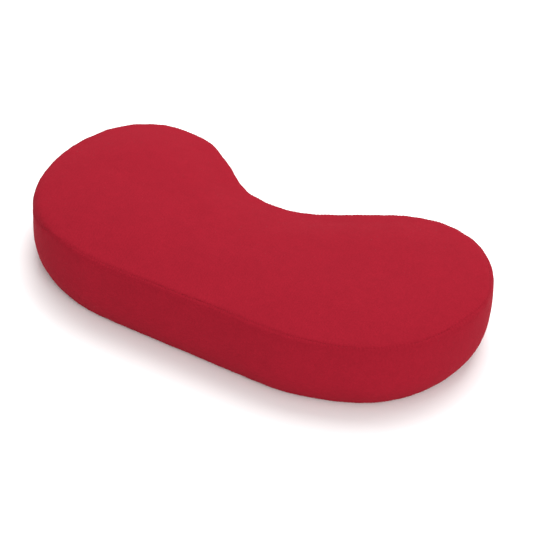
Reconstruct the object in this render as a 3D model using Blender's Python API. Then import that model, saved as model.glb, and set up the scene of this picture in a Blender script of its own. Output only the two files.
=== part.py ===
"""A firm chair cushion with two round lobes and a bay between them, filled and lying on its base.

A maker cuts three cloth pieces for it: a top panel, a side band and a base panel. They are sewn
together over a foam core, so the finished cushion is one filled solid. It has a crowned top, a
side that bulges between two sunken seams, and a base that the table has pressed flat.

Units are metres, +Z is up, and the origin is under the middle of the cushion, on the table.
The straight front edge faces -Y and the bay between the lobes opens towards +Y.
"""

from math import cos, radians, sin

import bmesh
import bpy
from mathutils import Vector

# The outline, as a seamstress would chalk it, at the widest height of the side.
LENGTH = 0.450  # across both lobes
# A half outline runs from the middle of the bay to the middle of the front edge. Each row is one
# arc: its radius, and the heading in degrees that it turns to (0 is +X, -90 is -Y).
OUTLINE_ARCS = (
    # name, radius, heading at its end
    ("bay", 0.0625, 36.0),
    ("lobe", 0.0805, -71.5),
    ("end", 0.1640, -92.4),
    ("front corner", 0.1380, -180.0),
)
OUTWARD = 90.0  # the cushion lies to the right of each heading, so outward is a quarter turn left
ARC_STEP = 0.0078  # about how far apart the points of an arc lie
STRAIGHT_STEP = 0.014  # about how far apart the points of a straight run lie

# The side, from the base up. Inset is how far a line lies inside the widest outline.
SIDE_ROWS = (
    # name, height, inset
    ("rim of the flat base", 0.0000, 0.0138),
    ("base seam, inner lip", 0.0006, 0.0122),
    ("base seam", 0.0024, 0.0114),
    ("base seam, outer lip", 0.0014, 0.0102),
    ("base roll", 0.0030, 0.0081),
    ("low roll", 0.0065, 0.0059),
    ("low side", 0.0125, 0.0031),
    ("lower side", 0.0210, 0.0009),
    ("widest line", 0.0325, 0.0000),
    ("upper side", 0.0440, 0.0004),
    ("high side", 0.0530, 0.0018),
    ("side roll", 0.0590, 0.0039),
    ("top seam, outer lip", 0.0631, 0.0060),
    ("top seam", 0.0636, 0.0079),
    ("top seam, inner lip", 0.0655, 0.0077),
    ("top panel's edge", 0.0662, 0.0096),
)

# The top panel, from its edge to the crown in the middle. It rises ever more gently.
CROWN_HEIGHT = 0.0755  # the whole cushion's height
CROWN_REACH = 0.064  # inset where the crown has risen fully
CROWN_SHARPNESS = 2.2  # how quickly the panel turns over at its edge
PANEL_INSETS = (0.0132, 0.0190, 0.0275, 0.0385, 0.0510, CROWN_REACH)

CLOTH_COLOUR = (0.445, 0.017, 0.036, 1.0)
CLOTH_ROUGHNESS = 0.92

COLLECTION = "chair_cushion"


def clear_scene():
    """Removes whatever the open file holds."""
    for obj in list(bpy.data.objects):
        bpy.data.objects.remove(obj, do_unlink=True)


def turned(heading):
    """The unit direction of a heading in degrees."""
    return Vector((cos(radians(heading)), sin(radians(heading))))


def arc_run(radius, start, end):
    """The offset from an arc's start to its end, when it turns from one heading to another."""
    bend = 1 if end > start else -1
    a, b = radians(start), radians(end)
    return Vector((bend * radius * (sin(b) - sin(a)), bend * radius * (cos(a) - cos(b))))


def slant_length():
    """Length of the straight run between bay and lobe that makes the cushion LENGTH wide.

    The widest place is where the outline heads towards -Y, part of the way round the end arc.
    """
    reach, heading = 0.0, 0.0
    for name, radius, end in OUTLINE_ARCS:
        stop = max(end, -90.0)
        reach += arc_run(radius, heading, stop).x
        heading = stop
        if name == "end":
            break
    return (LENGTH / 2 - reach) / cos(radians(OUTLINE_ARCS[0][2]))


def straight_run(start, heading, length):
    """Evenly spaced points of a straight run, without its start."""
    steps = round(length / STRAIGHT_STEP)
    return [start + turned(heading) * length * i / steps for i in range(1, steps + 1)]


def half_outline():
    """Points and outward directions from the middle of the bay to the middle of the front edge."""
    at, heading = Vector((0.0, 0.0)), 0.0
    found = [(at, turned(heading + OUTWARD))]
    for name, radius, end in OUTLINE_ARCS:
        steps = round(radius * abs(radians(end - heading)) / ARC_STEP)
        for i in range(1, steps + 1):
            now = heading + (end - heading) * i / steps
            found.append((at + arc_run(radius, heading, now), turned(now + OUTWARD)))
        at, heading = found[-1][0], end
        if name == "bay":
            run = straight_run(at, heading, slant_length())
            found += [(point, turned(heading + OUTWARD)) for point in run]
            at = run[-1]
    front = straight_run(at, heading, at.x)
    return found + [(point, turned(heading + OUTWARD)) for point in front]


def outline():
    """The whole outline, anticlockwise, centred on the origin, with its outward directions."""
    half = half_outline()
    # The middle of the bay and the middle of the front edge lie on the mirror plane.
    left = [(Vector((-point.x, point.y)), Vector((-out.x, out.y))) for point, out in half[1:-1]]
    ring = half[::-1] + left
    low = min(point.y for point, _ in ring)
    high = max(point.y for point, _ in ring)
    middle = Vector((0.0, (low + high) / 2))
    return [(point - middle, out) for point, out in ring]


def panel_height(inset):
    """Height of the top panel at an inset: steep at the edge, level at the crown."""
    _, edge_height, edge_inset = SIDE_ROWS[-1]
    share = (CROWN_REACH - inset) / (CROWN_REACH - edge_inset)
    return CROWN_HEIGHT - (CROWN_HEIGHT - edge_height) * share**CROWN_SHARPNESS


def section_rows():
    """Every line of the cushion from its base to its crown: (height, inset)."""
    rows = [(height, inset) for _, height, inset in SIDE_ROWS]
    return rows + [(panel_height(inset), inset) for inset in PANEL_INSETS]


def ring_edges(bm, verts):
    """The edges that join a ring of points, in order."""
    return [bm.edges.get((a, b)) for a, b in zip(verts, verts[1:] + verts[:1])]


def loft(bm, ring):
    """Raises the outline through every row of the section, and closes base and crown."""
    rows = section_rows()

    def place(verts, row):
        height, inset = row
        for vert, (point, out) in zip(verts, ring):
            flat = point - out * inset
            vert.co = (flat.x, flat.y, height)

    verts = [bm.verts.new() for _ in ring]
    place(verts, rows[0])
    bm.faces.new(reversed(verts))
    for row in rows[1:]:
        made = bmesh.ops.extrude_edge_only(bm, edges=ring_edges(bm, verts))["geom"]
        new = {part for part in made if isinstance(part, bmesh.types.BMVert)}
        verts = [
            next(edge.other_vert(vert) for edge in vert.link_edges if edge.other_vert(vert) in new)
            for vert in verts
        ]
        place(verts, row)
    bm.faces.new(verts)
    bmesh.ops.recalc_face_normals(bm, faces=bm.faces)


def cloth_material():
    """The matt cloth of the cover."""
    material = bpy.data.materials.new("red_cloth")
    material.use_nodes = True
    shader = material.node_tree.nodes["Principled BSDF"]
    shader.inputs["Base Color"].default_value = CLOTH_COLOUR
    shader.inputs["Roughness"].default_value = CLOTH_ROUGHNESS
    shader.inputs["Metallic"].default_value = 0.0
    material.diffuse_color = CLOTH_COLOUR
    return material


def build_cushion(collection):
    """The filled cushion, one closed body."""
    bm = bmesh.new()
    loft(bm, outline())
    mesh = bpy.data.meshes.new("cushion")
    bm.to_mesh(mesh)
    bm.free()
    mesh.materials.append(cloth_material())
    mesh.shade_smooth()
    mesh.set_sharp_from_angle(angle=radians(50))
    cushion = bpy.data.objects.new("cushion", mesh)
    collection.objects.link(cushion)
    return cushion


def main():
    """Builds the chair cushion in its own collection."""
    clear_scene()
    collection = bpy.data.collections.new(COLLECTION)
    bpy.context.scene.collection.children.link(collection)
    build_cushion(collection)


main()
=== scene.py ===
"""The looks of a firm, kidney-shaped chair cushion in matt red wool cloth.

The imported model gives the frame: where the cushion stands and how long, deep and high it is. This
script dresses it. A cover of fine quads is rolled round the outline, a cloth simulation says how
its panels swell and ripple between the seams, both seams are sewn in with their puckers and
thread, and the whole is lit and seen as in the photograph.

Units are metres, +Z is up, and the cushion lies on its base at the origin.
"""

import logging
import math
from dataclasses import dataclass, field
from enum import Enum

import bmesh
import bpy
import numpy as np
from mathutils import Matrix, Vector, kdtree, noise


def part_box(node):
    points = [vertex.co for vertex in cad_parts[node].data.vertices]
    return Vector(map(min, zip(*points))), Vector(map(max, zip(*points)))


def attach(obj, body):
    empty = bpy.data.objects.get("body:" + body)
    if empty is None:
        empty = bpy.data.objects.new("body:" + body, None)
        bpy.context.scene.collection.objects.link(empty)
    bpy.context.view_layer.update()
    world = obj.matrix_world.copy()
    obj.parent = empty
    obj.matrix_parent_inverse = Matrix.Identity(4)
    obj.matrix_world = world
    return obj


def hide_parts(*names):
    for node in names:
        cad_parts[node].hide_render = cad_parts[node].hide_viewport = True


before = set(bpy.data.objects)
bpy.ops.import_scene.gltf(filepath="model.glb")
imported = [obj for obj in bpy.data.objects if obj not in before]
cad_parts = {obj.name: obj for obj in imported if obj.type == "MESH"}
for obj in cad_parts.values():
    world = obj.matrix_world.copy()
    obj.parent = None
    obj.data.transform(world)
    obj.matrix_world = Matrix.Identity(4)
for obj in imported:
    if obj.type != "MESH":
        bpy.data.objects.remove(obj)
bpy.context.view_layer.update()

MM = 0.001
QUARTER = 90.0  # a quarter turn, in degrees
WIDE = 42.0  # in mm, as a bulge's sizes are
NARROW = 20.0
MERGED = 0.01 * MM  # points closer than this become one
NOISE_RANGE = (0.25, 0.75)  # where most values of a noise lie
NODE = "cushion"
BODY = "root"

Pair = tuple[float, float]
Triple = tuple[float, float, float]
Socket = bpy.types.NodeSocket

log = logging.getLogger("cushion_scene")


class Density(Enum):
    """How many quads a cover has round its outline, and the most between two lines across it."""

    SIMULATED = (288, 5.5 * MM)
    FINISHED = (1152, 3.6 * MM)


def turned(heading: float) -> np.ndarray:
    """The unit direction of a heading in degrees, where 0 is +X."""
    return np.array([math.cos(math.radians(heading)), math.sin(math.radians(heading))])


def smooth_curve(knots: np.ndarray, values: np.ndarray, at: np.ndarray) -> np.ndarray:
    """A smooth curve through values, which may hold a row of numbers for each knot.

    Args:
        knots: rising places of the values.
        values: one number or one row of numbers for each knot.
        at: the places to read the curve at.

    Returns:
        The curve's values at those places.
    """
    slopes = np.gradient(values, knots, axis=0)
    i = np.clip(np.searchsorted(knots, at) - 1, 0, len(knots) - 2)
    width = knots[i + 1] - knots[i]
    t = (at - knots[i]) / width
    if values.ndim > 1:
        width, t = width[:, None], t[:, None]
    return (
        (1 + 2 * t) * (1 - t) ** 2 * values[i]
        + t * (1 - t) ** 2 * width * slopes[i]
        + t * t * (3 - 2 * t) * values[i + 1]
        + t * t * (t - 1) * width * slopes[i + 1]
    )


def bell(away: float | np.ndarray) -> float | np.ndarray:
    """A smooth bump: 1 in its middle, fading out within about twice its half width of 1."""
    return np.exp(-(away**2))


def smooth_mesh(bm: bmesh.types.BMesh, name: str) -> bpy.types.Mesh:
    """Makes a smoothly shaded mesh of a bmesh, and frees the bmesh.

    Args:
        bm: the bmesh.
        name: the mesh's name.

    Returns:
        The mesh.
    """
    mesh = bpy.data.meshes.new(name)
    bm.to_mesh(mesh)
    bm.free()
    mesh.shade_smooth()
    return mesh


def put_down(name: str, data: bpy.types.ID) -> bpy.types.Object:
    """Puts a new object into the scene.

    Args:
        name: its name.
        data: its mesh, light or camera.

    Returns:
        The object.
    """
    new = bpy.data.objects.new(name, data)
    bpy.context.scene.collection.objects.link(new)
    return new


@dataclass(frozen=True)
class Run:
    """One arc or straight stretch of the outline.

    Attributes:
        start: its first point.
        heading: the heading there, in degrees.
        turn: how far the heading turns along it, in degrees.
        length: its length.
    """

    start: np.ndarray
    heading: float
    turn: float
    length: float

    def at(self, distance: float) -> tuple[np.ndarray, float]:
        """Walks along the stretch.

        Args:
            distance: how far to walk from its start.

        Returns:
            The point and the heading there.
        """
        now = self.heading + self.turn * distance / self.length
        if self.turn == 0:
            return self.start + turned(now) * distance, now
        radius = self.length / math.radians(self.turn)
        side = turned(self.heading + QUARTER) - turned(now + QUARTER)
        return self.start + side * radius, now


@dataclass(frozen=True)
class Bulge:
    """A place where the hand-filled cushion isn't quite as it was cut. Its sizes are in mm.

    Attributes:
        name: where it is.
        distance: its place, as a distance from the middle of the bay, positive towards +X.
        height: how far it stands out, or in if negative.
        width: half its width.
    """

    name: str
    distance: float
    height: float
    width: float = WIDE

    def at(self, distance: float | np.ndarray, half_girth: float) -> float | np.ndarray:
        """How far it moves the cloth at a distance from the middle of the bay, both in metres."""
        away = (distance - self.distance * MM + half_girth) % (2 * half_girth) - half_girth
        return self.height * MM * bell(away / (self.width * MM))


@dataclass
class Outline:
    """The outline at the widest height: a bay between two lobes, and a straight front edge.

    Half of it is laid from the middle of the bay to the middle of the front edge. Each arc has a
    radius and the heading in degrees that it turns to, the same as the solid's. The length and the
    place of the front edge come from the frame. The spine is the cushion's middle line, which the
    panels are laid to: how far it reaches to each end, and where its middle and ends lie along Y.
    """

    half_length: float
    front: float
    bay_radius: float = 62.5 * MM
    bay_heading: float = 36.0
    lobe_radius: float = 80.5 * MM
    lobe_heading: float = -71.5
    end_radius: float = 164.0 * MM
    end_heading: float = -92.4
    corner_radius: float = 138.0 * MM
    front_heading: float = -180.0
    spine_reach: float = 145.0 * MM
    spine_middle: float = -34.0 * MM
    spine_end: float = 2.0 * MM
    bulges: tuple[Bulge, ...] = (
        Bulge("middle of the bay", 0.0, 0.7),
        Bulge("fold of the bay", 0.0, 0.6, NARROW),
        Bulge("bay, right of its middle", 25.0, 1.4, NARROW),
        Bulge("bay, left of its middle", -25.0, -0.5, NARROW),
        Bulge("bay, foot of the left slope", -50.0, -2.3, NARROW),
        Bulge("bay, right slope", 62.0, 0.8),
        Bulge("bay, left slope", -62.0, -2.1),
        Bulge("bay, top of the left slope", -76.0, 0.8, NARROW),
        Bulge("left lobe, inner side", -102.0, -0.2, NARROW),
        Bulge("left lobe, inner shoulder", -160.0, -1.1, NARROW),
        Bulge("right lobe, inner side", 123.0, -0.6),
        Bulge("right lobe, inner shoulder", 130.0, -0.7, NARROW),
        Bulge("left lobe, back", -196.0, 2.3),
        Bulge("right lobe, outer shoulder", 235.0, -1.3, 30.0),
        Bulge("right end, back", 268.0, 0.3),
        Bulge("right end", 308.0, 1.3, 30.0),
        Bulge("left end, back", -304.0, -1.1),
        Bulge("left end", -350.0, -1.3),
        Bulge("right front corner", 412.0, 0.9),
        Bulge("left front corner", -412.0, -1.0),
        Bulge("front edge, right", 484.0, -2.5),
        Bulge("front edge, left", -484.0, -1.3),
        Bulge("front edge, middle", -556.0, 0.7),
    )
    runs: list[Run] = field(init=False)

    def __post_init__(self) -> None:
        """Lays the stretches of half the outline end to end, from the bay to the front."""
        arcs = (
            (self.bay_radius, self.bay_heading),
            (self.lobe_radius, self.lobe_heading),
            (self.end_radius, self.end_heading),
            (self.corner_radius, self.front_heading),
        )
        self.runs = []
        at, heading = np.zeros(2), 0.0
        for number, (radius, stop) in enumerate(arcs):
            turn = stop - heading
            run = Run(at, heading, turn, radius * abs(math.radians(turn)))
            self.runs.append(run)
            at, heading = run.at(run.length)
            if number == 0:
                slant = Run(at, heading, 0.0, self._slant_length())
                self.runs.append(slant)
                at, heading = slant.at(slant.length)
        self.runs.append(Run(at, heading, 0.0, at[0]))
        drop = np.array([0.0, self.front - at[1]])
        self.runs = [Run(run.start + drop, run.heading, run.turn, run.length) for run in self.runs]

    def _slant_length(self) -> float:
        """Works out the straight run between bay and lobe.

        Returns:
            The length of it that brings the cushion's end to half_length.
        """
        slant, lobe_end = turned(self.bay_heading), turned(self.lobe_heading)
        bay = self.bay_radius * slant[1]
        lobe = self.lobe_radius * (slant[1] - lobe_end[1])
        end = self.end_radius * (lobe_end[1] + 1)
        return (self.half_length - bay - lobe - end) / slant[0]

    @property
    def half_girth(self) -> float:
        """Length of half the outline."""
        return sum(run.length for run in self.runs)

    @property
    def to_end(self) -> float:
        """Distance from the middle of the bay to the outermost point of a lobe's end."""
        bay, slant, lobe, end = self.runs[:4]
        share = (-QUARTER - self.lobe_heading) / (self.end_heading - self.lobe_heading)
        return bay.length + slant.length + lobe.length + end.length * share

    def place(self, distance: float) -> tuple[np.ndarray, np.ndarray]:
        """The point and the outward direction at a distance from the middle of the bay.

        Args:
            distance: positive towards +X, negative towards -X, up to half the girth.

        Returns:
            The point and the unit direction out of the cushion there.
        """
        left, mirror = abs(distance), np.array([1.0 if distance >= 0 else -1.0, 1.0])
        uneven = sum(bulge.at(distance, self.half_girth) for bulge in self.bulges)
        for run in self.runs:
            if left <= run.length or run is self.runs[-1]:
                break
            left -= run.length
        point, heading = run.at(min(left, run.length))
        outward = turned(heading + QUARTER) * mirror
        return point * mirror + outward * uneven, outward

    def ring(self, density: Density) -> "Ring":
        """Points round the whole outline, anticlockwise from the +X end.

        Args:
            density: how many points. Half of them lie on each side of the ends.

        Returns:
            The ring of points.
        """
        around, _ = density.value
        half = around // 2
        back = self.to_end * (1 - 2 * np.arange(half) / half)
        front_length = 2 * (self.half_girth - self.to_end)
        front = -self.to_end - front_length * np.arange(half) / half
        signed = np.concatenate([back, front])
        wrapped = np.where(signed < -self.half_girth, signed + 2 * self.half_girth, signed)
        placed = [self.place(distance) for distance in wrapped]
        across = self.spine_reach * np.cos(math.pi * np.arange(around) / half)
        rise = (self.spine_end - self.spine_middle) * (across / self.spine_reach) ** 2
        return Ring(
            points=np.array([point for point, _ in placed]),
            outward=np.array([out for _, out in placed]),
            along=self.to_end - signed,
            spine=np.column_stack([across, self.spine_middle + rise]),
        )


@dataclass(frozen=True)
class Ring:
    """Points round the outline.

    Attributes:
        points: where they lie.
        outward: the unit direction out of the cushion at each.
        along: how far round the outline each lies.
        spine: the point of the cushion's middle line that each is joined to across a panel.
    """

    points: np.ndarray
    outward: np.ndarray
    along: np.ndarray
    spine: np.ndarray


@dataclass(frozen=True)
class Side:
    """The section's curve, from the edge of the base panel, round the side, to the top panel.

    Attributes:
        length: the length along it, finely sampled.
        points: the height and the inset there.
        slope: how fast each of them changes there.
    """

    length: np.ndarray
    points: np.ndarray
    slope: np.ndarray

    def at(self, length: float | np.ndarray) -> tuple[np.ndarray, np.ndarray, np.ndarray]:
        """Reads the curve.

        Args:
            length: how far along the curve, or an array of such lengths.

        Returns:
            The height, the inset, and the outward and upward share of the normal.
        """
        height, inset = (np.interp(length, self.length, column) for column in self.points.T)
        rise, draw = (np.interp(length, self.length, column) for column in self.slope.T)
        return height, inset, np.stack([rise, draw], axis=-1) / np.hypot(rise, draw)[..., None]


@dataclass(frozen=True)
class Rows:
    """The lines that run round the cover, from the middle of its base to the middle of its top.

    Attributes:
        side: the section's curve, which the lines between the two panels lie on.
        place: a number that rises from line to line, as the distance across the cloth does.
        inward: for a line on a panel, its share of the way from the panel's edge to the spine.
        carried: how much a line goes with the top seam where that runs low, from 0 to 1.
        from_base_seam: signed distance from the base seam.
        from_top_seam: signed distance from the top seam.
        first_band: number of the base seam's line.
        last_band: number of the top seam's line.
    """

    side: Side
    place: np.ndarray
    inward: np.ndarray
    carried: np.ndarray
    from_base_seam: np.ndarray
    from_top_seam: np.ndarray
    first_band: int
    last_band: int


@dataclass
class Section:
    """The cushion's section from the middle of its base, round its side, to the crown.

    The side bulges between the two seams, rolls over at its edges, and the top panel rises ever
    more gently to the crown.

    Attributes:
        height: the height of the whole cushion.
        knots: the heights and insets that the side's curve goes through, in mm.
        base_seam_knot: the number of the base seam's knot.
        top_seam_knot: the number of the top seam's knot.
        crown_rise: how far the crown stands above the cushion's height.
        crown_reach: the inset where the crown has risen fully.
        crown_sharpness: how quickly the top panel turns over at its edge.
        panel_width: about how far it is from a panel's edge to the spine.
        band_reach: how far down the band the cloth goes with the top seam where that runs low.
        seam_lines: how far from a seam the lines lie that follow it, in mm.
        coarse_seam_lines: the same for the simulated cover.
        panel_stretch: how much wider than on the side the quads of a panel may be.
        samples: how many points the side's curve has.
    """

    height: float
    knots: tuple[Pair, ...] = (
        (0.0, 26.0), (0.0, 20.0), (0.0, 15.0), (0.4, 11.8), (1.5, 9.6), (3.2, 7.9),
        (6.5, 5.9), (12.5, 3.1), (21.0, 0.8), (32.5, 0.0), (44.0, 0.35), (53.0, 1.4),
        (58.4, 2.3), (61.8, 3.4), (63.6, 4.8), (64.6, 6.6), (65.3, 7.8), (65.9, 9.4),
        (66.5, 11.5), (67.1, 14.5), (68.0, 19.0), (69.4, 26.0),
    )
    base_seam_knot: int = 4
    top_seam_knot: int = 15
    crown_rise: float = 0.4 * MM
    crown_reach: float = 85.0 * MM
    crown_sharpness: float = 1.7
    panel_width: float = 62.0 * MM
    band_reach: float = 32.0 * MM
    seam_lines: tuple[float, ...] = (0.0, 0.4, 0.8, 1.25, 1.8, 2.5, 3.4, 4.6, 6.2, 8.4, 11.2)
    coarse_seam_lines: tuple[float, ...] = (0.0, 5.0)
    panel_stretch: float = 1.4
    samples: int = 4000

    def _curve(self) -> tuple[Side, np.ndarray]:
        """Draws the side's curve through its knots.

        Returns:
            The curve, and how far along it each knot lies.
        """
        knots = np.array(self.knots) * MM
        chord = np.concatenate([[0.0], np.cumsum(np.hypot(*np.diff(knots, axis=0).T))])
        fine = np.linspace(0.0, chord[-1], self.samples)
        points = smooth_curve(chord, knots, fine)
        length = np.concatenate([[0.0], np.cumsum(np.hypot(*np.diff(points, axis=0).T))])
        side = Side(length, points, np.gradient(points, length, axis=0))
        return side, np.interp(chord, fine, length)

    def panel_height(self, inset: np.ndarray) -> np.ndarray:
        """The top panel's rise to the crown.

        Args:
            inset: distances inside the outline.

        Returns:
            The panel's height at each.
        """
        edge_height, edge_inset = (value * MM for value in self.knots[-1])
        crown = self.height + self.crown_rise
        share = np.clip((self.crown_reach - inset) / (self.crown_reach - edge_inset), 0, 1)
        return crown - (crown - edge_height) * share**self.crown_sharpness

    def rows(self, density: Density) -> Rows:
        """The lines of the cover.

        Args:
            density: how far apart the lines may lie.

        Returns:
            The lines, closest together at the two seams.
        """
        _, widest = density.value
        side, knot_length = self._curve()
        end = float(side.length[-1])
        base_seam = knot_length[self.base_seam_knot]
        top_seam = knot_length[self.top_seam_knot]
        offsets = self.seam_lines if density is Density.FINISHED else self.coarse_seam_lines
        lines = {0.0, end}
        for seam in (base_seam, top_seam):
            for offset in offsets:
                lines |= {seam - offset * MM, seam + offset * MM}
        lines = sorted(line for line in lines if 0 <= line <= end)
        edge = [lines[0]]
        for line in lines[1:]:
            steps = math.ceil((line - edge[-1]) / widest)
            edge += list(np.linspace(edge[-1], line, steps + 1)[1:])

        steps = math.ceil(self.panel_width / (self.panel_stretch * widest))
        inward = np.linspace(0.0, 1.0, steps + 1)[1:]
        place = np.concatenate(
            [-self.panel_width * inward[::-1], edge, end + self.panel_width * inward]
        )
        reach = np.where(place > top_seam, end - top_seam, self.band_reach)
        return Rows(
            side=side,
            place=place,
            inward=np.concatenate([inward[::-1], np.zeros(len(edge)), inward]),
            carried=np.clip(1 - ((place - top_seam) / reach) ** 2, 0, 1) ** 2,
            from_base_seam=place - base_seam,
            from_top_seam=place - top_seam,
            first_band=int(np.argmin(abs(place - base_seam))),
            last_band=int(np.argmin(abs(place - top_seam))),
        )


class Waver(Enum):
    """What wavers along a seam: about how far apart its rises are, and its layer of the noise."""

    STRAY = (12.0 * MM, 3.0)
    GATHER = (9.5 * MM, 7.0)
    SLOW_GATHER = (34.0 * MM, 11.0)
    PUCKER = (16.0 * MM, 15.0)
    GROOVE = (5.5 * MM, 19.0)


@dataclass(frozen=True)
class Seam:
    """A sewn line: a sunken groove, the cloth's roll beside it, and the puckers of its stitches.

    Attributes:
        depth: how deep the groove is where the thread is tight.
        width: half its width where it is half as deep.
        tightness: the share of that depth that it has on average, how much the share wavers,
            and the least that it gets to.
        roll: how far the cloth stands proud beside it.
        roll_at: how far from the seam that is.
        roll_width: half the roll's width, as a share of roll_at.
        roll_waver: how much the roll wavers along the seam.
        stitch: the pitch of the stitches.
        stray: how far a stitch lies from its even place at most, in stitches.
        pucker: how far the cloth rises and falls from stitch to stitch.
        pucker_reach: how far from the seam the stitches are felt.
        pucker_waver: how much the puckers waver along the seam.
        pucker_skew: how far a pucker leans along the seam at its reach, in radians of its wave.
        gather: how uneven the cloth is gathered along the seam.
        gather_reach: how far from the seam that is felt.
        slow_gather: how much the slow gathers count beside the quick ones.
        hold: the share of puckers and gathers that is left in the groove itself.
        shift: where its unevenness is read from, so that two seams differ.
        drops: the places where it runs lower down the side, or higher if negative.
    """

    depth: float = 0.32 * MM
    width: float = 0.36 * MM
    tightness: Triple = (0.4, 1.6, 0.1)
    roll: float = 0.10 * MM
    roll_at: float = 2.4 * MM
    roll_width: float = 0.75
    roll_waver: float = 0.3
    stitch: float = 3.4 * MM
    stray: float = 0.16
    pucker: float = 0.32 * MM
    pucker_reach: float = 2.8 * MM
    pucker_waver: float = 0.55
    pucker_skew: float = 0.35
    gather: float = 0.40 * MM
    gather_reach: float = 11.0 * MM
    slow_gather: float = 0.7
    hold: float = 0.35
    shift: float = 0.0
    drops: tuple[Bulge, ...] = ()

    def drop(self, distance: float | np.ndarray, half_girth: float) -> float | np.ndarray:
        """How far down the side the seam runs, at a distance from the middle of the bay."""
        return sum(place.at(distance, half_girth) for place in self.drops)

    def stitches(self, girth: float) -> int:
        """How many stitches go round a seam of that length."""
        return round(girth / self.stitch)

    def uneven(self, along: float, girth: float, waver: Waver) -> float:
        """Unevenness along the seam, which closes on itself after one girth.

        Args:
            along: distance round the outline.
            girth: length of the whole outline.
            waver: what wavers.

        Returns:
            How uneven it is there, from -1 to 1.
        """
        pitch, layer = waver.value
        angle = 2 * math.pi * along / girth
        radius = girth / (2 * math.pi * pitch)
        spot = Vector((radius * math.cos(angle), radius * math.sin(angle), layer + self.shift))
        return noise.noise(spot)

    def relief(self, along: np.ndarray, across: np.ndarray, girth: float) -> np.ndarray:
        """How far the seam moves the cloth along its normal.

        Args:
            along: distance round the outline, for each column.
            across: signed distance from the seam, for each row.
            girth: length of the whole outline.

        Returns:
            One number for each row and column.
        """
        stray, gather, slow, strength, tight = (
            np.array([self.uneven(place, girth, waver) for place in along]) for waver in Waver
        )
        far = abs(across)[:, None]
        skew = np.sign(across)[:, None] * far / self.pucker_reach * self.pucker_skew
        phase = 2 * math.pi * (self.stitches(girth) * along / girth + self.stray * stray) + skew
        mean, waver, least = self.tightness
        groove = -self.depth / (1 + (far / self.width) ** 2)
        groove = groove * np.clip(mean + waver * tight, least, 1)
        roll = self.roll * bell((far - self.roll_at) / (self.roll_width * self.roll_at))
        roll = roll * (1 + self.roll_waver * gather)
        pucker = self.pucker * (1 + self.pucker_waver * strength) * np.cos(phase)
        pucker = pucker * np.exp(-far / self.pucker_reach)
        ripple = self.gather * (gather + self.slow_gather * slow) * bell(far / self.gather_reach)
        lie = 1 - bell(far / self.width)
        return groove + roll + (pucker + ripple) * (self.hold + (1 - self.hold) * lie)


@dataclass(frozen=True)
class Swelling:
    """How the cloth simulation fills the cover.

    Attributes:
        pressure: the filling's pressure.
        ease: how much larger the cloth is cut than the foam, as a share.
        frames: how many frames it is given to settle.
        cap: the furthest that the settled cloth may lie from the smooth form.
        share: how much of what the simulation shows the cover takes on.
        finest: the length of the finest ripple that it takes on.
        quality: how many steps each frame is solved in.
        mass: the mass of each of the cloth's points, in kg.
        stretch: how stiff the cloth is against being stretched. So are shear and bend.
    """

    pressure: float = 4.0
    ease: float = 0.012
    frames: int = 20
    cap: float = 1.2 * MM
    share: float = 0.45
    finest: float = 22.0 * MM
    quality: int = 6
    mass: float = 0.3
    stretch: float = 12.0
    shear: float = 4.0
    bend: float = 0.35


@dataclass(frozen=True)
class Finish:
    """What every finish has.

    Attributes:
        name: the material's name.
        colour: its colour.
        roughness: how matt it is.
        gloss: how much it mirrors.
    """

    name: str
    colour: Triple
    roughness: float
    gloss: float


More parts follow.
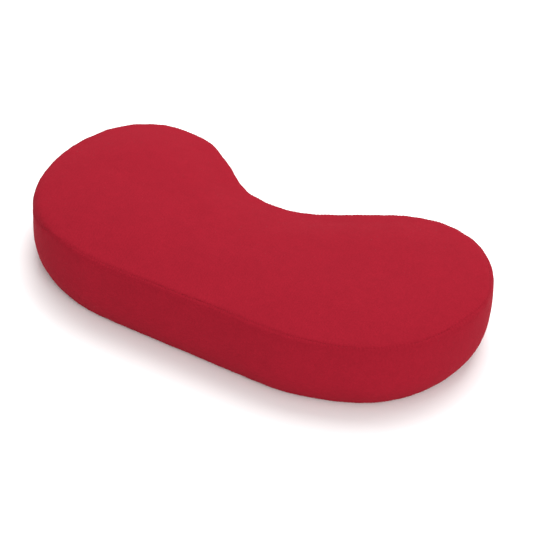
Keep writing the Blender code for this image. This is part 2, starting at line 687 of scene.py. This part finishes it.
@dataclass(frozen=True)
class WoolCloth(Finish):
    """The cover's cloth: fine plain weave under a short felted nap, dyed one deep red.

    Attributes:
        thread_pitch: how far apart its threads lie.
        relief_height: how far threads and nap stand up together.
        weave_relief: the weave's share of that. So are the nap's and the fibres'.
        weave_shade: how dark the cloth is between the threads and how light on them.
        nap_grain: the size of the nap's tufts. The single fibres' is fibre_grain.
        cloud_grain: the size of the broad clouds in the dye. The blotches' is blotch_grain.
        nap_shade: how much lighter and darker the tufts are. So are clouds and blotches.
        painted_seam_shade: painted shade down in a seam: how dark the cloth's colour is made there.
        sheen: how much light the nap catches at grazing angles.
        sheen_roughness: how widely it catches it.
        sheen_tint: the colour of that light.
    """

    name: str = "red_wool_cloth"
    colour: Triple = (0.268, 0.0086, 0.0194)
    thread_pitch: float = 0.9 * MM
    relief_height: float = 0.16 * MM
    weave_relief: float = 0.5
    nap_relief: float = 0.9
    fibre_relief: float = 0.45
    weave_shade: Pair = (0.94, 1.05)
    nap_grain: float = 1.5 * MM
    nap_shade: float = 0.10
    fibre_grain: float = 0.525 * MM
    cloud_grain: float = 38.0 * MM
    cloud_shade: float = 0.025
    blotch_grain: float = 9.0 * MM
    blotch_shade: float = 0.03
    # painted shade in the seam grooves, as a share of the cloth's colour
    painted_seam_shade: float = 0.95
    sheen: float = 0.10
    sheen_roughness: float = 0.45
    sheen_tint: tuple[float, float, float, float] = (1.0, 0.12, 0.16, 1.0)
    roughness: float = 0.94
    gloss: float = 0.04

    def build(self, girth: float) -> bpy.types.Material:
        """Makes the material.

        Args:
            girth: length of the side band, which holds a whole number of threads.

        Returns:
            The material. It reads the cover's own UV map, which is in metres on each panel.
        """
        tree = NodeTree(self)
        inputs = tree.shader.inputs
        inputs["Sheen Weight"].default_value = self.sheen
        inputs["Sheen Roughness"].default_value = self.sheen_roughness
        inputs["Sheen Tint"].default_value = self.sheen_tint

        pairs = round(girth / (2 * self.thread_pitch))
        cloth = tree.node("ShaderNodeUVMap", {}, "UV", uv_map="cloth")
        threads = tree.scaled(cloth, 2 * math.pi * pairs / girth)
        across, along, _ = tree.node("ShaderNodeSeparateXYZ", {0: threads}).node.outputs
        crossing = tree.math("MULTIPLY", tree.math("SINE", across), tree.math("SINE", along))
        weave = tree.remap(crossing, (-1, 1), (0, 1))
        place = tree.object_place()
        nap = tree.noise(place, self.nap_grain, detail=3.0, rough=0.62)
        fibre = tree.noise(place, self.fibre_grain, rough=0.6)
        cloud = tree.noise(place, self.cloud_grain)
        blotch = tree.noise(place, self.blotch_grain)
        # Painted shade: the cover's 'sunk' attribute darkens the colour down in the seams, standing
        # in for the shade that falls in the groove.
        sunk = tree.node("ShaderNodeAttribute", {}, "Fac", attribute_name="sunk")

        shade = tree.shade(cloud, self.cloud_shade)
        for other in (
            tree.shade(nap, self.nap_shade),
            tree.shade(blotch, self.blotch_shade),
            tree.remap(weave, (0, 1), self.weave_shade),
            tree.remap(sunk, (0, 1), (1, self.painted_seam_shade)),
        ):
            shade = tree.math("MULTIPLY", shade, other)
        relief = tree.math("MULTIPLY", weave, self.weave_relief)
        for other, share in ((nap, self.nap_relief), (fibre, self.fibre_relief)):
            relief = tree.math("ADD", relief, tree.math("MULTIPLY", other, share))
        return tree.finished(shade, relief, self.relief_height)


@dataclass(frozen=True)
class SewingThread(Finish):
    """The polyester thread of the seams, a shade deeper than the cloth.

    Attributes:
        ply_grain: how far apart its two plies cross.
        ply_height: how far they stand up.
        ply_shade: how much lighter and darker they are.
    """

    name: str = "red_thread"
    colour: Triple = (0.250, 0.0075, 0.0174)
    ply_grain: float = 0.3 * MM
    ply_height: float = 0.05 * MM
    ply_shade: float = 0.2
    roughness: float = 0.55
    gloss: float = 0.15

    def build(self) -> bpy.types.Material:
        """Makes the material.

        Returns:
            The material, with the plies as fine lighter and darker grains.
        """
        tree = NodeTree(self)
        plies = tree.noise(tree.object_place(), self.ply_grain, detail=1.0)
        return tree.finished(tree.shade(plies, self.ply_shade), plies, self.ply_height)


@dataclass(frozen=True)
class PaleFloor(Finish):
    """The plain pale floor, with a barely visible mottle.

    Attributes:
        mottle_grain: the size of the mottle.
        mottle_shade: how much lighter and darker it is.
    """

    name: str = "pale_floor"
    colour: Triple = (0.96, 0.96, 0.96)
    mottle_grain: float = 1 / 3
    mottle_shade: float = 0.005
    roughness: float = 0.9
    gloss: float = 0.1

    def build(self) -> bpy.types.Material:
        """Makes the material.

        Returns:
            The material.
        """
        tree = NodeTree(self)
        mottle = tree.noise(tree.object_place(), self.mottle_grain)
        shade = tree.remap(mottle, (0, 1), (1 - self.mottle_shade, 1 + self.mottle_shade))
        return tree.finished(shade)


class NodeTree:
    """A material's nodes, and short ways to add and join them."""

    def __init__(self, finish: Finish) -> None:
        """Starts a material.

        Args:
            finish: the finish, which gives its name, roughness and gloss.
        """
        self.finish = finish
        self.material = bpy.data.materials.new(finish.name)
        self.material.use_nodes = True
        self.tree = self.material.node_tree
        self.shader = self.tree.nodes["Principled BSDF"]
        self.shader.inputs["Roughness"].default_value = finish.roughness
        self.shader.inputs["Specular IOR Level"].default_value = finish.gloss

    def finished(
        self, shade: Socket, relief: Socket | None = None, height: float = 0.0
    ) -> bpy.types.Material:
        """Joins colour and relief to the shader.

        Args:
            shade: what makes the colour lighter or darker, around 1.
            relief: its fine relief, where it has one.
            height: how high that relief is.

        Returns:
            The finished material.
        """
        colour = self.scaled(self.finish.colour, shade)
        self.tree.links.new(colour, self.shader.inputs["Base Color"])
        if relief is not None:
            inputs = {"Strength": 1.0, "Distance": height, "Height": relief}
            normal = self.node("ShaderNodeBump", inputs, "Normal")
            self.tree.links.new(normal, self.shader.inputs["Normal"])
        return self.material

    def node(
        self, kind: str, inputs: dict[str | int, object], output: str | int = 0, **settings: str
    ) -> Socket:
        """Adds a node.

        Args:
            kind: Blender's name for what it is.
            inputs: a value or another node's socket for each of its inputs.
            output: the output that is wanted.
            settings: the node's own settings.

        Returns:
            That output's socket.
        """
        node = self.tree.nodes.new(kind)
        for name, setting in settings.items():
            setattr(node, name, setting)
        for name, value in inputs.items():
            if isinstance(value, Socket):
                self.tree.links.new(value, node.inputs[name])
            else:
                node.inputs[name].default_value = value
        return node.outputs[output]

    def object_place(self) -> Socket:
        """The place on the piece, in metres."""
        return self.node("ShaderNodeTexCoord", {}, "Object")

    def scaled(self, vector: Socket | Triple, scale: Socket | float) -> Socket:
        """A vector or a colour times a number."""
        return self.node("ShaderNodeVectorMath", {0: vector, "Scale": scale}, operation="SCALE")

    def math(self, operation: str, first: Socket, second: Socket | float = 0.5) -> Socket:
        """One sum of two values, by Blender's name for it. A sine takes only the first."""
        return self.node("ShaderNodeMath", {0: first, 1: second}, operation=operation)

    def remap(self, value: Socket, old: Pair, new: Pair) -> Socket:
        """A value moved from one range to another, and held inside it."""
        ends = zip(("From Min", "From Max", "To Min", "To Max"), (*old, *new))
        return self.node("ShaderNodeMapRange", {"Value": value, **dict(ends)}, "Result")

    def shade(self, value: Socket, spread: float) -> Socket:
        """A noise as a shade around 1, that much lighter and darker."""
        return self.remap(value, NOISE_RANGE, (1 - spread, 1 + spread))

    def noise(
        self, place: Socket, grain: float, detail: float = 2.0, rough: float = 0.5
    ) -> Socket:
        """Soft noise with grains of that size, from 0 to 1."""
        inputs = {"Vector": place, "Scale": 1 / grain, "Detail": detail, "Roughness": rough}
        return self.node("ShaderNodeTexNoise", inputs, "Fac")


@dataclass
class Cover:
    """The sewn cover over its firm foam: top panel, side band and base panel.

    Attributes:
        outline: how it runs round.
        section: how it runs across.
        top_seam: the seam between top panel and band, with the places where it runs low.
        base_seam: the seam between band and base panel.
        shoulder: how far the top panel stands out over a low seam, as a share of the drop.
        shoulder_reach: how far from the seam that is felt.
        seam_shadow: half the width of the painted shade down in a seam.
        swelling: how the cloth simulation fills it.
        softness: how far the foam's broad unevenness reaches.
        softness_pitch: how broad it is.
        softness_rise: the height where it is felt fully.
    """

    outline: Outline
    section: Section
    top_seam: Seam = Seam(
        drops=(
            Bulge("left end", -418.0, 9.5, 50.0),
            Bulge("front edge, left", -535.0, 1.0, 50.0),
            Bulge("front edge, right", 552.0, -1.5, 50.0),
            Bulge("right front corner", 437.0, 1.3, 50.0),
            Bulge("right end", 293.0, 2.5, 25.0),
        )
    )
    base_seam: Seam = Seam(pucker=0.12 * MM, gather=0.20 * MM, shift=40.0)
    shoulder: float = 0.12
    shoulder_reach: float = 7.0 * MM
    seam_shadow: float = 0.9 * MM
    swelling: Swelling = Swelling()
    softness: float = 0.45 * MM
    softness_pitch: float = 70.0 * MM
    softness_rise: float = 20.0 * MM

    @property
    def girth(self) -> float:
        """Length of the whole outline."""
        return 2 * self.outline.half_girth

    def form(self, ring: Ring, rows: Rows) -> tuple[np.ndarray, np.ndarray]:
        """The cover's smooth form.

        Args:
            ring: the points round it.
            rows: the lines across it.

        Returns:
            The place and the unit normal of each crossing, row by row.
        """
        drop = self.top_seam.drop(self.outline.to_end - ring.along, self.outline.half_girth)
        height, inset, normal = rows.side.at(rows.place[:, None] - rows.carried[:, None] * drop)
        edge = ring.points[None] - ring.outward[None] * inset[..., None]
        inward = rows.inward[:, None, None]
        flat = edge + (ring.spine[None] - edge) * inward
        reach = np.linalg.norm(ring.spine[None] - edge, axis=2) * rows.inward[:, None]
        on_base = (rows.inward > 0) & (rows.place < 0)
        on_top = (rows.inward > 0) & (rows.place > 0)
        height[on_top] = self.section.panel_height(inset + reach)[on_top]
        height[-1] = self.section.height + self.section.crown_rise
        normal[on_base] = (0.0, -1.0)
        normal[on_top] = (0.0, 1.0)
        normals = np.dstack([ring.outward[None] * normal[..., :1], normal[..., 1:]])
        # Where the seam runs low, the top panel stands out over it like a shoulder.
        lift = self.shoulder * drop * bell(rows.from_top_seam[:, None] / self.shoulder_reach)
        return np.dstack([flat, height]) + normals * lift[..., None], normals

    def mesh(
        self, places: np.ndarray, ring: Ring, rows: Rows, sunk: np.ndarray | None = None
    ) -> bpy.types.Mesh:
        """Rolls a flat grid round the cushion and closes it.

        Args:
            places: where each crossing goes, row by row.
            ring: the points round it.
            rows: the lines across it.
            sunk: how much painted shade each row gets down in a seam, from 0 to 1.

        Returns:
            A closed mesh, with a UV map in metres that lies flat on each of the three panels.
        """
        around, across = len(ring.points), len(rows.place)
        bm = bmesh.new()
        uv = bm.loops.layers.uv.new("cloth")
        # the 'sunk' layer carries the painted seam shade to the cloth's material
        depth = bm.verts.layers.float.new("sunk")
        half = 0.5  # half the side of the flat grid
        bmesh.ops.create_grid(bm, x_segments=around, y_segments=across - 1, size=half)
        spot = {}
        for vert in bm.verts:
            column = round((vert.co.x + half) * around)
            row = round((vert.co.y + half) * (across - 1))
            spot[vert] = (column, row)
            vert.co = places[row, column % around]
            if sunk is not None:
                vert[depth] = sunk[row]
        along = np.append(ring.along, self.girth)
        for face in bm.faces:
            middle = sum(spot[vert][1] for vert in face.verts) / len(face.verts)
            for loop in face.loops:
                column, row = spot[loop.vert]
                if rows.first_band < middle < rows.last_band:
                    loop[uv].uv = (along[column], rows.place[row])
                else:
                    loop[uv].uv = loop.vert.co.xy
        bmesh.ops.remove_doubles(bm, verts=bm.verts, dist=MERGED)
        bmesh.ops.recalc_face_normals(bm, faces=bm.faces)
        return smooth_mesh(bm, "sewn_cover")

    def simulate(self) -> tuple[np.ndarray, np.ndarray]:
        """Lets cloth with a little ease settle over the filling, held at the base and the top seam.

        Returns:
            The places across the cover, and how far the cloth lies from its mean there, along its
            normal, for each of those places and each point round the outline.
        """
        ring = self.outline.ring(Density.SIMULATED)
        rows = self.section.rows(Density.SIMULATED)
        places, normals = self.form(ring, rows)
        mesh = self.mesh(places, ring, rows)
        trial = put_down("settling_cloth", mesh)
        before = self._coordinates(mesh)
        # Points of the grid were merged, so each crossing is found again by its place.
        tree = kdtree.KDTree(len(before))
        for number, place in enumerate(before):
            tree.insert(place, number)
        tree.balance()
        nearest = np.array([tree.find(place)[1] for place in places.reshape(-1, 3)])
        nearest = nearest.reshape(places.shape[:2])
        on_base = nearest[: rows.first_band + 1].ravel()
        held = np.unique(np.concatenate([on_base, nearest[rows.last_band]]))
        trial.vertex_groups.new(name="held").add(held.tolist(), 1.0, "REPLACE")

        swelling = self.swelling
        cloth = trial.modifiers.new("Cloth", "CLOTH")
        settings = cloth.settings
        settings.quality = swelling.quality
        settings.mass = swelling.mass
        settings.tension_stiffness = settings.compression_stiffness = swelling.stretch
        settings.shear_stiffness = swelling.shear
        settings.bending_stiffness = swelling.bend
        settings.use_pressure = True
        settings.uniform_pressure_force = swelling.pressure
        settings.effector_weights.gravity = 0.0
        settings.shrink_min = -swelling.ease
        settings.vertex_group_mass = "held"
        cloth.collision_settings.use_collision = False
        cloth.collision_settings.use_self_collision = False
        cloth.point_cache.frame_start = 1
        cloth.point_cache.frame_end = swelling.frames
        for number in range(1, swelling.frames + 1):
            bpy.context.scene.frame_set(number)
        graph = bpy.context.evaluated_depsgraph_get()
        after = self._coordinates(trial.evaluated_get(graph).to_mesh())
        bpy.data.objects.remove(trial)
        bpy.context.scene.frame_set(1)

        away = ((after - before)[nearest] * normals).sum(axis=2)
        away -= away.mean(axis=1, keepdims=True)
        log.info("settled cloth: %.2f mm at most from its mean", abs(away).max() / MM)
        return rows.place, np.clip(away, -swelling.cap, swelling.cap)

    @staticmethod
    def _coordinates(mesh: bpy.types.Mesh) -> np.ndarray:
        """Reads where a mesh's points lie.

        Args:
            mesh: the mesh.

        Returns:
            One place for each point.
        """
        flat = np.empty(3 * len(mesh.vertices), np.float32)
        mesh.vertices.foreach_get("co", flat)
        return flat.reshape(-1, 3).astype(float)

    def settled(self, rows: Rows, around: int) -> np.ndarray:
        """The simulation's unevenness, read at the finished cover's crossings.

        Args:
            rows: the finished cover's lines.
            around: how many points it has round the outline.

        Returns:
            How far each crossing moves along its normal.
        """
        place, away = self.simulate()
        waves = np.fft.rfft(away, axis=1)
        length = self.girth / np.maximum(np.arange(waves.shape[1]), 1)
        waves *= bell(self.swelling.finest / length)
        fine = np.fft.irfft(waves, around, axis=1) * around / away.shape[1]
        return self.swelling.share * smooth_curve(place, fine, rows.place)

    def build(self) -> bpy.types.Object:
        """Makes the finished cover.

        Returns:
            The cover, swollen, sewn and dressed.
        """
        ring = self.outline.ring(Density.FINISHED)
        rows = self.section.rows(Density.FINISHED)
        places, normals = self.form(ring, rows)
        away = self.settled(rows, len(ring.points))
        away += self.top_seam.relief(ring.along, rows.from_top_seam, self.girth)
        away += self.base_seam.relief(ring.along, rows.from_base_seam, self.girth)
        away += self.softness * self._soft(places)
        places = places + normals * away[..., None]
        places[..., 2] = np.maximum(places[..., 2], 0.0)
        # Painted shade down in both seams: rows near a seam line get their colour darkened.
        sunk = bell(rows.from_top_seam / self.seam_shadow)
        sunk += bell(rows.from_base_seam / self.seam_shadow)
        cover = put_down("sewn_cover", self.mesh(places, ring, rows, sunk))
        cover.data.materials.append(WoolCloth().build(self.girth))
        return cover

    def _soft(self, places: np.ndarray) -> np.ndarray:
        """The foam's slight, broad unevenness.

        Args:
            places: the places to read it at.

        Returns:
            How uneven it is at each, from -1 to 1, and 0 at the base.
        """
        flat = places.reshape(-1, 3)
        found = np.array([noise.noise(Vector(place) / self.softness_pitch) for place in flat])
        lift = np.clip(flat[:, 2] / self.softness_rise, 0, 1)
        return (found * lift).reshape(places.shape[:2])


@dataclass
class Stitching:
    """The thread of both seams: one short bar across the groove at each stitch.

    Attributes:
        cover: the cover that it sews.
        thickness: the thread's thickness.
        reach: half the length of a stitch.
        depth: how deep the stitches lie in the groove.
        slant: how much they slant along the seam.
        facets: how many sides a stitch has, and how many steps from end to end.
    """

    cover: Cover
    thickness: float = 0.30 * MM
    reach: float = 0.70 * MM
    depth: float = 0.24 * MM
    slant: float = 0.28
    facets: tuple[int, int] = (6, 4)

    def build(self) -> bpy.types.Object:
        """Makes all the stitches of both seams.

        Returns:
            The thread, as one piece.
        """
        bm = bmesh.new()
        rows = self.cover.section.rows(Density.FINISHED)
        for seam, line in (
            (self.cover.top_seam, rows.last_band),
            (self.cover.base_seam, rows.first_band),
        ):
            for seat in self._seats(seam, rows, line):
                self._stitch(bm, seat)
        thread = put_down("seam_thread", smooth_mesh(bm, "seam_thread"))
        thread.data.materials.append(SewingThread().build())
        return thread

    def _seats(self, seam: Seam, rows: Rows, line: int) -> list[Matrix]:
        """Where the stitches of one seam lie.

        Args:
            seam: the seam.
            rows: the cover's lines.
            line: the number of the seam's own line.

        Returns:
            The place and turn of each stitch, with its length along its own X.
        """
        outline, girth = self.cover.outline, self.cover.girth
        count = seam.stitches(girth)
        seats = []
        for i in range(count):
            stray = seam.stray * seam.uneven(girth * i / count, girth, Waver.STRAY)
            # The cloth dips where its pucker wave is lowest, half a stitch on from a crest.
            distance = outline.to_end - girth * (i + 0.5 - stray) / count
            if distance < -outline.half_girth:
                distance += girth
            point, outward = outline.place(distance)
            drop = seam.drop(distance, outline.half_girth)
            height, inset, (out, up) = rows.side.at(rows.place[line] - drop)
            normal = Vector((*(outward * out), up))
            seat = Vector((*(point - outward * inset), height))
            tangent = Vector((-outward[1], outward[0], 0.0))
            lean = (normal.cross(tangent) + self.slant * tangent).normalized()
            turn = Matrix((lean, normal.cross(lean), normal)).transposed().to_4x4()
            sunk = self.depth - self.cover.shoulder * drop
            seats.append(Matrix.Translation(seat - normal * sunk) @ turn)
        return seats

    def _stitch(self, bm: bmesh.types.BMesh, seat: Matrix) -> None:
        """Adds one stitch, a short rounded bar.

        Args:
            bm: the bmesh that gathers the stitches.
            seat: where the stitch lies and how it is turned.
        """
        size = Matrix.Diagonal((self.reach, self.thickness / 2, self.thickness / 2, 1.0))
        sides, steps = self.facets
        one = bmesh.new()
        bmesh.ops.create_uvsphere(
            one, u_segments=sides, v_segments=steps, radius=1.0, matrix=seat @ size
        )
        mesh = smooth_mesh(one, "stitch")
        bm.from_mesh(mesh)
        bpy.data.meshes.remove(mesh)


@dataclass(frozen=True)
class SoftLight:
    """A soft studio light.

    Attributes:
        name: its name.
        towards: the direction that it lies in, seen from the cushion.
        distance: how far away it is.
        size: the side of its square.
        power: its power in watts.
    """

    name: str
    towards: Triple
    distance: float
    size: float
    power: float

    def build(self) -> None:
        """Hangs the light and turns it to the cushion."""
        light = bpy.data.lights.new(self.name, "AREA")
        light.shape = "SQUARE"
        light.size = self.size
        light.energy = self.power
        lamp = put_down(self.name, light)
        direction = Vector(self.towards).normalized()
        lamp.location = direction * self.distance
        lamp.rotation_mode = "QUATERNION"
        lamp.rotation_quaternion = direction.to_track_quat("Z", "Y")


@dataclass
class Studio:
    """Floor, lights and camera.

    The camera stands at a distance from its target, turned by the azimuth from looking along +Y,
    looking down by the elevation, and rolled about its line of sight, all in degrees. The clip is
    the nearest and the furthest that it sees. The floor lies a small gap under the cushion, so
    that the two never fight for the same place, and the surround is how bright it is all round.
    """

    floor_size: float = 14.0
    floor_gap: float = 0.15 * MM
    surround: float = 0.70
    lights: tuple[SoftLight, ...] = (
        SoftLight("right_softbox", (0.80, -0.60, 0.48), 4.0, 2.2, 80.0),
        SoftLight("overhead_softbox", (-0.20, 0.58, 1.0), 2.0, 1.8, 43.0),
    )
    azimuth: float = 27.04
    elevation: float = 35.62
    roll: float = 4.81
    distance: float = 1.3752
    lens: float = 98.85
    target: Triple = (9.74 * MM, 19.34 * MM, 17.87 * MM)
    clip: Pair = (0.05, 60.0)

    def build(self) -> None:
        """Sets up the floor, the lights and the camera."""
        self._floor()
        self._surround()
        for light in self.lights:
            light.build()
        self._camera()
        bpy.context.scene.view_settings.view_transform = "Standard"

    def _floor(self) -> None:
        """Lays the plain pale floor."""
        bm = bmesh.new()
        under = Matrix.Translation((0.0, 0.0, -self.floor_gap))
        bmesh.ops.create_grid(
            bm, x_segments=2, y_segments=2, size=self.floor_size / 2, matrix=under
        )
        floor = put_down("floor", smooth_mesh(bm, "floor"))
        floor.data.materials.append(PaleFloor().build())

    def _surround(self) -> None:
        """Lights the studio evenly with plain white."""
        world = bpy.data.worlds.new("white_studio")
        world.use_nodes = True
        background = world.node_tree.nodes["Background"].inputs
        background["Color"].default_value = (1.0, 1.0, 1.0, 1.0)
        background["Strength"].default_value = self.surround
        bpy.context.scene.world = world

    def _camera(self) -> None:
        """Places the camera at the photograph's angle, with its slight roll."""
        turn = (
            Matrix.Rotation(math.radians(self.azimuth), 4, "Z")
            @ Matrix.Rotation(math.radians(QUARTER - self.elevation), 4, "X")
            @ Matrix.Rotation(math.radians(self.roll), 4, "Z")
        )
        place = Vector(self.target) + turn.col[2].xyz * self.distance
        data = bpy.data.cameras.new("camera")
        data.lens = self.lens
        data.clip_start, data.clip_end = self.clip
        camera = put_down("camera", data)
        camera.matrix_world = Matrix.Translation(place) @ turn
        bpy.context.scene.camera = camera


def triangles(piece: bpy.types.Object) -> int:
    """How many triangles a piece has."""
    return sum(len(face.vertices) - 2 for face in piece.data.polygons)


def main() -> None:
    """Builds the cushion's pieces in order, and the studio round them."""
    logging.basicConfig(level=logging.INFO, format="%(message)s")
    lowest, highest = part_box(NODE)
    outline = Outline(half_length=highest.x, front=lowest.y)
    cover_maker = Cover(outline, Section(height=highest.z))

    cover = cover_maker.build()
    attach(cover, BODY)
    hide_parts(NODE)
    log.info("%s: %d triangles", cover.name, triangles(cover))

    thread = Stitching(cover_maker).build()
    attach(thread, BODY)
    log.info("%s: %d triangles", thread.name, triangles(thread))

    studio = Studio()
    studio.build()
    log.info("studio: %d lights", len(studio.lights))


if __name__ == "__main__":
    main()
